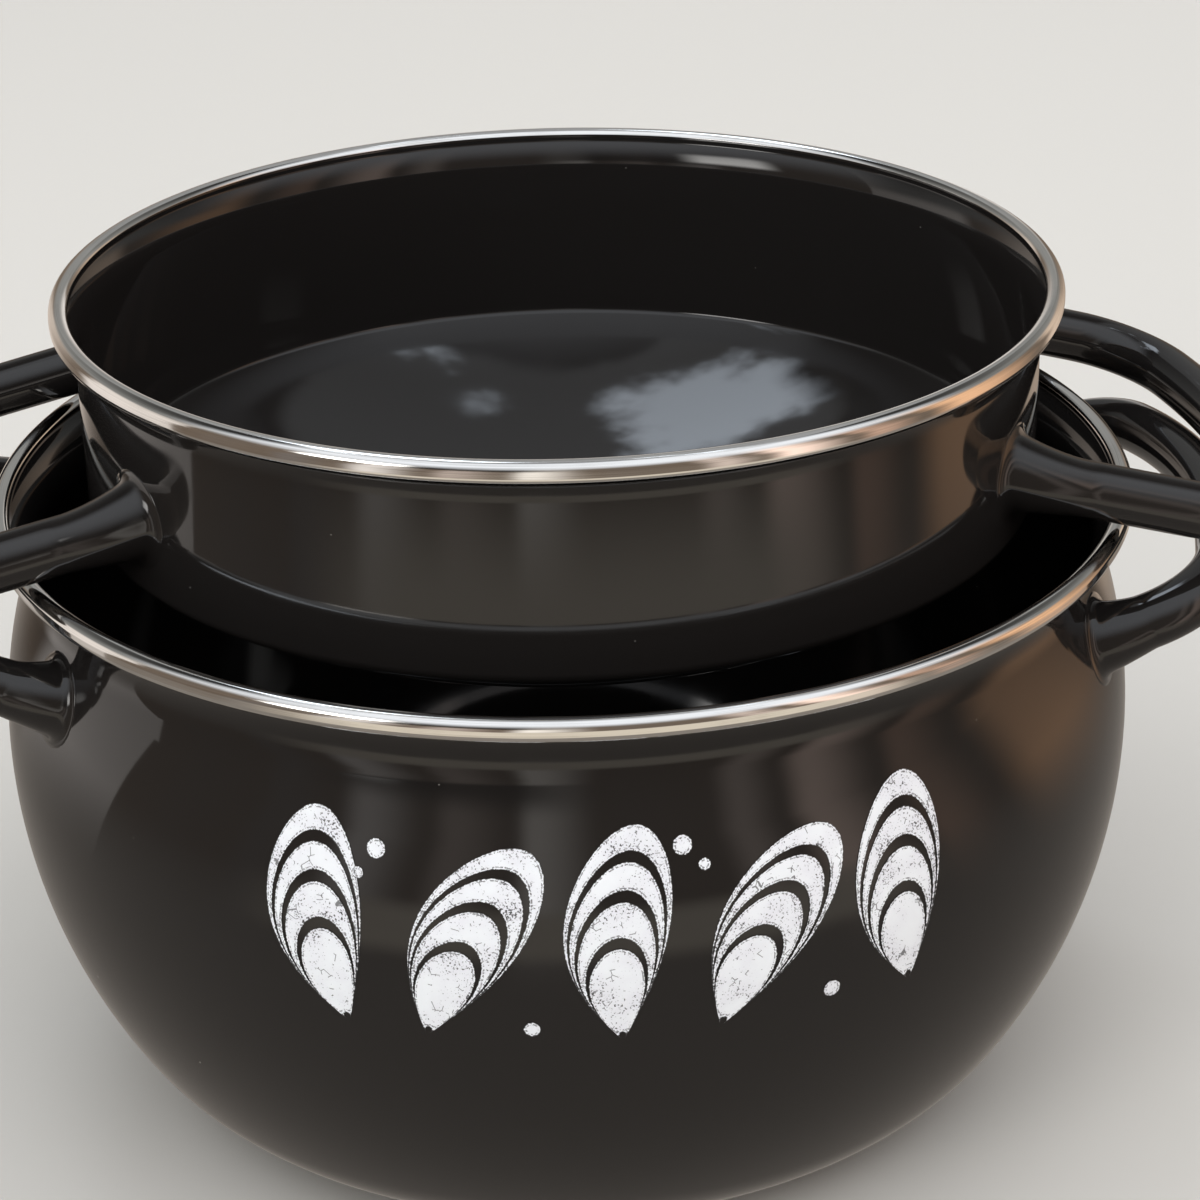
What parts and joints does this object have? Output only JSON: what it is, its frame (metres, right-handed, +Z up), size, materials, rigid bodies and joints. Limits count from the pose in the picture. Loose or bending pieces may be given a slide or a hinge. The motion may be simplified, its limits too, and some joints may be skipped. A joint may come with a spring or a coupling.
{
  "type": "mussel pot",
  "caption": "Round-bellied enamelled steel cooking pot with loop handles and bright rims, its deep lid turned over in the mouth as a bowl for shells.",
  "frame": {"origin": "middle of the pot's foot, on the surface that it stands on", "axes": "+X from the left handle to the right one, +Z up, the printed front faces -Y"},
  "size_m": [0.3044, 0.242, 0.1785],
  "materials": {
    "enamel": "gloss",
    "trim": "polished"
  },
  "bodies": {
    "root": {"pot_body": "enamel", "pot_rim": "trim", "pot_handle_right": "enamel", "pot_handle_left": "enamel", "lid_body": "enamel", "lid_rim": "trim", "lid_handle_right": "enamel", "lid_handle_left": "enamel"}
  },
  "joints": []
}
